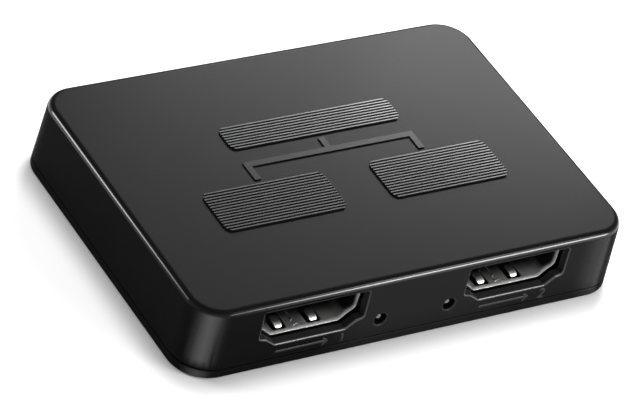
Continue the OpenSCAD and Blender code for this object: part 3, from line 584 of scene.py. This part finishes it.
class SPLITTER_OT_marks(bpy.types.Operator):
    """Raise an arrow and a numeral on the front wall below each output"""

    bl_idname = "splitter.marks"
    bl_label = "Output marks"

    def execute(self, context):
        case = context.scene.splitter_case
        lean = math.tan(case.draft)
        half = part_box("bottom_cover")[1].y + case.base_edge * lean
        # The mould's marks are polished less than the trimmed edges, and show as faint lines.
        raised = moulded(
            "black ABS, raised mark", case.plastic, 0.35, 0.2 * MM, 0.001 * MM, specular=0.06, coat=0.4
        )
        foot, numeral_at, sunk, step = 1.78 * MM, 5 * MM, 0.005 * MM, 0.05 * MM
        for number in (1, 2):
            low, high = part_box("output_%d_socket_shell" % number)
            middle = (low.x + high.x) / 2
            paths = arrow_paths(case.mark_height)
            paths += [p + [numeral_at, 0] for p in numeral_paths(number, case.mark_height)]
            parts = []
            for path in paths:
                points, faces = stroke(finer(path, step), case.mark_stroke, case.mark_relief)
                x, z = points[..., 0] + middle, points[..., 1] + foot
                y = z * lean - half - points[..., 2] + sunk
                parts.append((np.stack([x, y, z], -1), faces))
            weld(piece("output_%d_mark" % number, *joined(parts), raised, "case_plastic"))
        return {"FINISHED"}


def opening(socket, grow, floor_lines, roof_lines):
    """Outline of the socket opening grown outward by each value of grow. Its eight corners move along
    their mitres and are rounded by arcs; straight runs along the floor and the roof carry the given
    points. Returns an array of (grow, point, x and z)."""
    w, h, f = socket.width / 2, socket.height, socket.flat / 2
    right = np.array([[f, 0], [f + socket.knee_run, socket.knee_rise], [w, socket.rise], [w, h]])
    corners = np.concatenate([right, right[::-1] * [-1, 1]])
    u, v = unit(np.roll(corners, 1, 0) - corners), unit(np.roll(corners, -1, 0) - corners)
    out_u, out_v = np.stack([-u[:, 1], u[:, 0]], 1), np.stack([v[:, 1], -v[:, 0]], 1)
    mitre = (out_u + out_v) / (1 + (out_u * out_v).sum(1))[:, None]
    half = np.arccos((u * v).sum(1)) / 2
    inward = unit(u + v)
    start = u / np.tan(half)[:, None] - inward / np.sin(half)[:, None]
    bent = np.where(u[:, 0] * v[:, 1] - u[:, 1] * v[:, 0] > 0, -1, 1) * (np.pi - 2 * half)
    angle = np.arctan2(start[:, 1], start[:, 0])[:, None] + bent[:, None] * np.linspace(0, 1, ARC_STEPS + 1)
    grow = np.asarray(grow)
    radius = (socket.corner + grow)[:, None, None]
    centre = corners + grow[:, None, None] * mitre + radius * inward / np.sin(half)[:, None]
    arcs = centre[:, :, None] + radius[..., None] * np.stack([np.cos(angle), np.sin(angle)], -1)
    floor = np.stack(np.broadcast_arrays(floor_lines, -grow[:, None]), -1)
    roof = np.stack(np.broadcast_arrays(roof_lines[::-1], h + grow[:, None]), -1)
    n = len(grow)
    return np.concatenate([floor, arcs[:, :4].reshape(n, -1, 2), roof, arcs[:, 4:].reshape(n, -1, 2)], 1)


def corner_steps(radius):
    """Distances from a window's side of the points that are drawn in to the circle of its corner: on the
    square round the circle, at tangents of even steps of the angle."""
    return radius * (1 - np.tan(np.radians([45, 34, 23, 11, 0])))


def window_lines(socket, shift):
    """Places across the sheet: the sides of both finger windows, points close to their corners, and the
    sheet between them. Returns the places and the windows' sides."""
    margin, room = 0.35 * MM, 0.2 * MM
    near, half = corner_steps(socket.window_corner), socket.finger_width / 2 + socket.finger_gap
    middles = [shift + s * socket.finger_pitch / 2 for s in (-1, 1)]
    sides = [(middle - half, middle + half) for middle in middles]
    lines = np.concatenate([np.concatenate([a + near, b - near]) for a, b in sides])
    rest = np.linspace(-socket.flat / 2 + margin, socket.flat / 2 - margin, 9)
    clear = np.abs(rest[:, None] - lines[None, :]).min(1) > room
    inside = np.any([(rest > a) & (rest < b) for a, b in sides], 0)
    return np.sort(np.concatenate([lines, rest[clear & ~inside]])), sides


def shell_surface(socket):
    """Inner face of the socket shell: the opening's outline carried along its depth and flared at the
    mouth by a quarter cosine. Quads inside the finger windows are left out, and the points on a window's
    front corners are drawn in to a circle. Returns points as (x, depth, z), and quads."""
    r, front = socket.window_corner, socket.finger_front - socket.finger_gap / 2
    root_gap = 0.03 * MM
    root = socket.finger_front + socket.finger_length + root_gap
    mouth = socket.flare_depth * np.linspace(0, 1, 7)
    beside = np.concatenate([front + corner_steps(r), np.linspace(front + r, root, 8)[1:]])
    depth = np.concatenate([mouth, beside, [0.8 * socket.depth, socket.depth]])
    grow = socket.flare * (1 - np.sin(np.clip(depth / socket.flare_depth, 0, 1) * math.pi / 2))
    floor, floor_sides = window_lines(socket, socket.finger_shift)
    roof, roof_sides = window_lines(socket, 0.0)
    outline = opening(socket, grow, floor, roof)
    rows, columns = outline.shape[:2]
    deep = np.broadcast_to(depth[:, None], (rows, columns))
    points = np.stack([outline[..., 0], deep, outline[..., 1]], -1)
    first_roof = len(floor) + 4 * (ARC_STEPS + 1)
    keep = np.ones((rows - 1, columns), bool)
    spans = ((0, floor, floor_sides), (first_roof, roof[::-1], roof_sides))
    middle_depth = (depth[1:] + depth[:-1]) / 2
    for start, lines, sides in spans:
        middle = (lines[1:] + lines[:-1]) / 2
        for a, b in sides:
            across = (middle > a) & (middle < b)
            along = (middle_depth > front) & (middle_depth < root)
            keep[:, start : start + len(middle)] &= ~(along[:, None] & across[None, :])
            for sign, edge in ((1, a), (-1, b)):
                patch = points[:, start : start + len(lines)]
                x, d = (patch[..., 0] - edge) * sign - r, patch[..., 1] - front - r
                on = (np.abs(np.maximum(-x, -d) - r) < 1e-8) & (x <= 0) & (d <= 0)
                pull = np.where(on, r / np.maximum(np.hypot(x, d), 1e-9), 1)
                patch[..., 0] += sign * x * (pull - 1)
                patch[..., 1] += d * (pull - 1)
    return points, grid_faces(rows, columns, closed=True)[keep.ravel()]


def leg_surface(socket, board):
    """Four flat legs: a strip that runs down the side of the shell and through the board, narrowed to a
    lead-in at its end. Points are (x, depth, z) with the floor at zero."""
    front_leg, rear_leg, half_width = 2.4 * MM, 8.2 * MM, 0.8 * MM
    lead_in, narrowed = 0.2 * MM, 0.6
    drop = np.array([socket.height * 0.7, socket.rise, -lead_in, -board, -board - lead_in])
    width = np.array([1, 1, 1, 1, narrowed]) * half_width
    across = np.linspace(-1, 1, 3)
    parts = []
    for side in (-1, 1):
        for depth in (front_leg, rear_leg):
            d = depth + width[:, None] * across
            x = np.full_like(d, side * (socket.width / 2))
            z = np.broadcast_to(drop[:, None], d.shape)
            parts.append((np.stack([x, d, z], -1), grid_faces(len(drop), len(across))[:, ::side]))
    return joined(parts)


def finger_surface(socket, shift, up):
    """Inner faces of a pair of sprung fingers. Along a finger the face climbs from the tip to the crest
    on a circle and falls to the root on a half cosine; its width draws in round the tip on a circle."""
    crest, rise, length = socket.finger_crest, socket.finger_rise, socket.finger_length
    r = 0.32 * MM
    tip = r * (1 - np.cos(np.linspace(0.15, math.pi / 2, 6)))
    along = np.concatenate([tip, np.linspace(r, crest, 8)[1:], np.linspace(crest, length, 16)[1:]])
    bow = (crest**2 + rise**2) / (2 * rise)
    climb = rise - bow + np.sqrt(bow**2 - np.clip(crest - along, 0, None) ** 2)
    fall = rise * (1 + np.cos(math.pi * (along - crest) / (length - crest))) / 2
    height = np.where(along < crest, climb, fall)
    inset = r - np.sqrt(np.clip(r * r - np.clip(r - along, 0, r) ** 2, 0, None))
    half = socket.finger_width / 2 - inset
    across = np.linspace(-1, 1, 9)
    parts = []
    for side in (-1, 1):
        x = shift + side * socket.finger_pitch / 2 + half[:, None] * across
        d = np.broadcast_to((socket.finger_front + along)[:, None], x.shape)
        z = np.broadcast_to((height if up else socket.height - height)[:, None], x.shape)
        parts.append((np.stack([x, d, z], -1), grid_faces(len(along), len(across))[:, :: 1 if up else -1]))
    return joined(parts)


def seam_surface():
    """Joint of the folded sheet on the socket floor: a fine stroke that steps in a zig-zag behind the
    mouth and then runs straight back."""
    zigzag = [[-0.3, 0.3], [-0.35, 0.62], [-0.62, 1.0], [-1.3, 0.66], [-1.42, 1.5], [-1.0, 1.7], [-1.0, 8.0]]
    step, width, height = 0.06 * MM, 0.2 * MM, 0.07 * MM
    return stroke(finer(np.array(zigzag) * MM, step), width, height)


class SPLITTER_OT_video_sockets(bpy.types.Operator):
    """Form the shells, sprung fingers, tongues and contacts of the three video sockets"""

    bl_idname = "splitter.video_sockets"
    bl_label = "Video sockets"

    def execute(self, context):
        socket = context.scene.splitter_socket
        # Cold-rolled steel sheet with dull nickel plate: a satin grey with faint rolling streaks. Plugs have
        # rubbed it bright near the mouth, and deeper in it is painted darker, a painted shade of the shell's
        # inside.
        sheet = plated("dull nickel-plated steel sheet", socket.sheet, 0.55, 0.08 * MM, 1, socket.inside)
        # The mouth is burnished where plugs rub it: brighter and smoother than the sheet.
        rim = plated("burnished nickel-plated edge", socket.bright, 0.34, 0.08 * MM, 0)
        # The same plate on legs, folds and the power socket: evenly satin.
        plain = plated("satin nickel-plated steel", socket.sheet, 0.4, 0.08 * MM, 1)
        # Spring steel with nickel plate: plugs rub the crests of the fingers white, and behind the crests the
        # fingers are painted dark, a painted shade deep in the socket.
        spring = plated("nickel-plated spring steel", socket.bright, 0.33, 0.06 * MM, 1, socket.inside)
        # Glass-filled nylon: dull black with a slightly uneven skin.
        soot = linear("#141415")
        nylon = moulded("black glass-filled nylon", soot, 0.5, 0.15 * MM, 0.003 * MM, specular=0.4)
        # Gold flash over nickel on stamped copper alloy: warm and bright.
        gold = plated("gold-flashed contacts", linear("#d9b15c"), 0.25, 0.05 * MM, 1)
        board_low, board_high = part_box("main_board")
        for name in ("output_1", "output_2", "input"):
            low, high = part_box(name + "_socket_shell")
            floor = high.z - socket.flare - socket.gauge - socket.height
            facing = -1 if name == "input" else 1
            mouth = high.y if name == "input" else low.y
            place = np.array([(low.x + high.x) / 2, mouth, floor])

            def set_in(points):
                return place + points * [facing, facing, 1]

            points, faces = shell_surface(socket)
            shell = piece(name + "_shell_sheet", set_in(points), faces, sheet, "socket_steel")
            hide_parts(name + "_socket_shell")
            # The walls keep the rubbed brightness to a fifth of the floor's depth, and beyond it they take
            # the painted shade.
            walls = ramp(points[..., 2], 0.2 * MM, 1.4 * MM)
            paint_wear_and_shade(shell, points[..., 1] * (1 + 4 * walls), 0.3 * MM, 3.4 * MM)
            thicken(shell, socket.gauge, 0.145 * MM, rim)
            points, faces = leg_surface(socket, floor - board_low.z)
            legs = piece(name + "_shell_legs", set_in(points), faces, plain, "socket_steel")
            thicken(legs, socket.gauge, 0.04 * MM)
            points, faces = seam_surface()
            weld(piece(name + "_shell_seam", set_in(points), faces, plain, "socket_steel"))
            for level, shift, up in (("lower", socket.finger_shift, True), ("upper", 0.0, False)):
                points, faces = finger_surface(socket, shift, up)
                pair = name + "_" + level
                fingers = piece(
                    pair + "_finger_strips", set_in(points), faces, spring, "spring_steel", pair + "_fingers"
                )
                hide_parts(pair + "_springs")
                # Behind the crest the fingers take the inner colour, which is painted shade.
                paint_wear_and_shade(fingers, points[..., 1] - socket.finger_front, 1.1 * MM, 2.4 * MM)
                thicken(fingers, socket.finger_gauge, 0.05 * MM)
            dress(nylon, name + "_socket_insulator")
            dress(gold, name + "_socket_contacts")
        return {"FINISHED"}


class SPLITTER_OT_power_socket(bpy.types.Operator):
    """Finish the shell, tongue and contacts of the power socket"""

    bl_idname = "splitter.power_socket"
    bl_label = "Power socket"

    def execute(self, context):
        dress(bpy.data.materials["satin nickel-plated steel"], "power_socket_shell")
        dress(bpy.data.materials["black glass-filled nylon"], "power_socket_insulator")
        dress(bpy.data.materials["gold-flashed contacts"], "power_socket_contacts")
        return {"FINISHED"}


def dome_surface(radius, length, steps=40):
    """Lens: a circle carried along a profile that is a flat back, a straight barrel and then a quarter
    circle to the tip. Points are (x, distance along the axis, z)."""
    swing = np.linspace(0, math.pi / 2, 13)
    along = np.concatenate([[0, 0], length - radius + radius * np.sin(swing)])
    around = np.concatenate([[0, radius], radius * np.cos(swing)])
    turn = np.linspace(0, 2 * math.pi, steps, endpoint=False)
    x = around[:, None] * np.cos(turn)
    z = around[:, None] * np.sin(turn)
    y = np.broadcast_to(along[:, None], x.shape)
    return np.stack([x, y, z], -1), grid_faces(len(along), steps, closed=True)


class SPLITTER_OT_lights(bpy.types.Operator):
    """Make the domed lenses of the three status lights and finish their bodies"""

    bl_idname = "splitter.lights"
    bl_label = "Status lights"

    def execute(self, context):
        # Clear epoxy with a green tint, unlit: dark and very glossy against the black hole behind it.
        tint = linear("#26382d")
        clear = moulded(
            "green-tinted clear epoxy", tint, 0.04, 0.4 * MM, 0.0, specular=1.0, spread=0.2, coat=1.0
        )
        # White filled nylon of the light's body.
        white = moulded("white filled nylon", linear("#e4e1d8"), 0.5, 0.2 * MM, 0.002 * MM)
        for name in ("output_1", "output_2", "power"):
            low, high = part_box(name + "_light_lens")
            facing = 1 if name == "power" else -1
            radius, length = (high.x - low.x) / 2, high.y - low.y
            back = low.y if name == "power" else high.y
            points, faces = dome_surface(radius, length)
            place = np.array([(low.x + high.x) / 2, back, (low.z + high.z) / 2])
            points = place + points * [1, facing, 1]
            lens = piece(name + "_light_dome", points, faces[:, ::-facing], clear, "light_clear")
            weld(lens)
            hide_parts(name + "_light_lens")
            dress(white, name + "_light_body")
        return {"FINISHED"}


class SPLITTER_OT_board(bpy.types.Operator):
    """Finish the board and the parts soldered to it"""

    bl_idname = "splitter.board"
    bl_label = "Board and its parts"

    def execute(self, context):
        # Black solder resist over glass laminate: glossy, and faintly uneven over the weave and the copper.
        resist = moulded("black solder resist", linear("#17181a"), 0.3, 0.5 * MM, 0.004 * MM, coat=0.3)
        dress(resist, "main_board")
        # Moulded epoxy of chip bodies: matt, finely pitted.
        epoxy = moulded("matt chip epoxy", linear("#242527"), 0.6, 0.08 * MM, 0.003 * MM, specular=0.35)
        dress(epoxy, "splitter_chip", "memory_chip", "regulator", "surge_arrays", "chip_resistors")
        dress(bpy.data.materials["black glass-filled nylon"], "bulk_capacitor_bases")
        # Matt tin plate on leads and terminals: a soft pale grey.
        tin = plated("matt tin plate", linear("#c4c5c6"), 0.4, 0.05 * MM, 0)
        dress(tin, "splitter_chip_leads", "memory_chip_leads", "regulator_leads", "crystal_lid")
        dress(tin, "power_inductor_ends", "chip_capacitor_ends", "chip_resistor_ends")
        # Pressed ferrite: dark grey, dull and blotchy.
        ferrite = moulded("pressed ferrite", linear("#45464a"), 0.7, 0.1 * MM, 0.006 * MM, spread=0.25)
        dress(ferrite, "power_inductor")
        # Fired ceramic: tan, with a slight sheen.
        ceramic = moulded("fired ceramic", linear("#a07b58"), 0.45, 0.12 * MM, 0.002 * MM)
        dress(ceramic, "chip_capacitors", "crystal_base")
        # Drawn aluminium: bright, with fine upright streaks.
        dress(plated("drawn aluminium", linear("#dcdddf"), 0.25, 0.06 * MM, 2), "bulk_capacitor_cans")
        return {"FINISHED"}


class SPLITTER_OT_screws(bpy.types.Operator):
    """Finish the case screws"""

    bl_idname = "splitter.screws"
    bl_label = "Case screws"

    def execute(self, context):
        # Bright zinc plate on cold-headed steel: a cool, clear shine.
        dress(plated("bright zinc plate", linear("#bfc1c6"), 0.3, 0.08 * MM, 0), "case_screws")
        return {"FINISHED"}


def softbox(name, place, target, width, height, radiance):
    """Area light whose face has the given radiance: its power is radiance times pi times its area."""
    data = bpy.data.lights.new(name, "AREA")
    data.shape, data.size, data.size_y = "RECTANGLE", width, height
    data.energy = radiance * math.pi * width * height
    lamp = bpy.data.objects.new(name, data)
    lamp.location = place
    lamp.rotation_euler = (Vector(place) - Vector(target)).to_track_quat("Z", "Y").to_euler()
    lamp.visible_camera = False
    bpy.context.scene.collection.objects.link(lamp)
    return lamp


def seamless_paper(colour, corner):
    """Matt pale paper, lifted to white where the camera or a reflection sees it. The lamps stand close, so
    its glow rises slowly the further it lies from the case. Close to the case the glow is painted dimmer
    still, a painted shadow round the case's footprint, whose footprint is the set of points within a corner
    radius of a smaller rectangle."""
    paper, tree, out = fresh_material("white seamless paper")
    matt = add(tree, "ShaderNodeBsdfDiffuse", {"Color": tuple(colour) + (1,)}).outputs[0]
    place = add(tree, "ShaderNodeTexCoord").outputs["Object"]
    folded = add(tree, "ShaderNodeVectorMath", {0: place}, operation="ABSOLUTE").outputs[0]
    inner = (CAD_BOX[1][0] - corner, CAD_BOX[1][1] - corner, 0)
    beyond = add(tree, "ShaderNodeVectorMath", {0: folded, 1: inner}, operation="SUBTRACT").outputs[0]
    beyond = add(tree, "ShaderNodeVectorMath", {0: beyond, 1: (0, 0, 0)}, operation="MAXIMUM").outputs[0]
    away = add(tree, "ShaderNodeVectorMath", {0: beyond}, operation="LENGTH").outputs["Value"]
    # A painted shadow along the case's foot, out of which the glow rises quickly, and a slow rise across the
    # room.
    foot = {"From Min": corner, "From Max": corner + 4.2 * MM, "To Min": 0.09, "To Max": 0.37}
    near = add(tree, "ShaderNodeMapRange", {"Value": away, **foot}, interpolation_type="SMOOTHSTEP")
    far = add(tree, "ShaderNodeMapRange", {"Value": away, "From Min": 0.03, "From Max": 0.33, "To Max": 0.7})
    level = calc(tree, "ADD", near.outputs["Result"], far.outputs["Result"])
    glow_and_painted_shadow = add(tree, "ShaderNodeEmission", {"Strength": level}).outputs[0]
    lifted = add(tree, "ShaderNodeAddShader", {0: matt, 1: glow_and_painted_shadow}).outputs[0]
    shader = add(tree, "ShaderNodeMixShader", {0: seen_rays(tree), 1: matt, 2: lifted})
    tree.links.new(shader.outputs[0], out.inputs[0])
    return paper


class SPLITTER_OT_stage(bpy.types.Operator):
    """Set the pale floor, the soft lights and the camera"""

    bl_idname = "splitter.stage"
    bl_label = "Stage, lights and camera"

    def execute(self, context):
        scene, stage = context.scene, context.scene.splitter_stage
        scene.view_settings.view_transform = "Standard"

        paper = seamless_paper(stage.floor, scene.splitter_case.corner)
        reach = 1.5
        corners = np.array([[-reach, -reach, 0], [reach, -reach, 0], [reach, reach, 0], [-reach, reach, 0]])
        mesh = bpy.data.meshes.new("floor")
        mesh.from_pydata((corners - [0, 0, 0.01 * MM]).tolist(), [], [(0, 1, 2, 3)])
        mesh.materials.append(paper)
        floor = bpy.data.objects.new("floor", mesh)
        scene.collection.objects.link(floor)

        # A room that is white to the eye and lights little.
        world = bpy.data.worlds.new("white room")
        world.use_nodes = True
        tree = world.node_tree
        tree.nodes.clear()
        level = add(tree, "ShaderNodeMapRange", {"Value": seen_rays(tree), "To Min": 0.08, "To Max": 1.0})
        sky = add(tree, "ShaderNodeBackground", {"Color": (1, 1, 1, 1), "Strength": level.outputs["Result"]})
        add(tree, "ShaderNodeOutputWorld", {0: sky.outputs[0]})
        scene.world = world

        softbox("overhead softbox", (0.06, 0.08, 0.44), (0.0, 0.0, 0.01), 0.26, 0.26, 4.6)
        softbox("right sheen softbox", (0.149, 0.128, 0.110), (0.03, 0.02, 0.01), 0.055, 0.055, 12.0)
        softbox("back sheen softbox", (0.163, 0.229, 0.165), (0.0, 0.0, 0.01), 0.066, 0.066, 12.5)
        # This one only lights: it stands low, and its reflection would whiten the top in low views.
        low_lamp = softbox("back right softbox", (0.135, 0.146, 0.078), (0.03, 0.02, 0.01), 0.09, 0.09, 15.4)
        low_lamp.visible_glossy = False
        softbox("front right strip", (0.139, -0.212, 0.108), (0.01, -0.022, 0.01), 0.17, 0.045, 15.5)
        softbox("front right spot", (0.130, -0.148, 0.178), (0.0, -0.022, 0.005), 0.08, 0.04, 10.0)
        softbox("back left strip", (-0.201, 0.158, 0.117), (-0.032, 0.008, 0.01), 0.10, 0.05, 17.0)

        data = bpy.data.cameras.new("camera")
        data.lens, data.sensor_width = stage.lens, 36
        data.clip_start, data.clip_end = 0.01, 20
        camera = bpy.data.objects.new("camera", data)
        a, e = stage.azimuth, stage.elevation
        back = Vector((math.sin(a) * math.cos(e), -math.cos(a) * math.cos(e), math.sin(e)))
        level_right = Vector((math.cos(a), math.sin(a), 0))
        level_up = back.cross(level_right)
        right = level_right * math.cos(stage.roll) + level_up * math.sin(stage.roll)
        up = level_up * math.cos(stage.roll) - level_right * math.sin(stage.roll)
        turn = Matrix((right, up, back)).transposed().to_4x4()
        camera.matrix_world = Matrix.Translation(Vector(stage.aim) + back * stage.distance) @ turn
        scene.collection.objects.link(camera)
        scene.camera = camera
        return {"FINISHED"}


class SPLITTER_PT_panel(bpy.types.Panel):
    """Sidebar list of the pieces"""

    bl_idname = "SPLITTER_PT_panel"
    bl_label = "Video splitter"
    bl_space_type = "VIEW_3D"
    bl_region_type = "UI"
    bl_category = "Splitter"

    def draw(self, context):
        for operator in OPERATORS:
            self.layout.operator(operator.bl_idname)


SETTINGS = {
    "splitter_case": SPLITTER_PG_case,
    "splitter_socket": SPLITTER_PG_socket,
    "splitter_stage": SPLITTER_PG_stage,
}
OPERATORS = (
    SPLITTER_OT_stage,
    SPLITTER_OT_case,
    SPLITTER_OT_marks,
    SPLITTER_OT_video_sockets,
    SPLITTER_OT_power_socket,
    SPLITTER_OT_lights,
    SPLITTER_OT_board,
    SPLITTER_OT_screws,
)


def register():
    for group in SETTINGS.values():
        bpy.utils.register_class(group)
    for name, group in SETTINGS.items():
        setattr(bpy.types.Scene, name, PointerProperty(type=group))
    for operator in OPERATORS:
        bpy.utils.register_class(operator)
    bpy.utils.register_class(SPLITTER_PT_panel)


def unregister():
    bpy.utils.unregister_class(SPLITTER_PT_panel)
    for operator in reversed(OPERATORS):
        bpy.utils.unregister_class(operator)
    for name, group in reversed(SETTINGS.items()):
        delattr(bpy.types.Scene, name)
        bpy.utils.unregister_class(group)


def main():
    register()
    for operator in OPERATORS:
        family, name = operator.bl_idname.split(".")
        getattr(getattr(bpy.ops, family), name)()


if __name__ == "__main__":
    main()
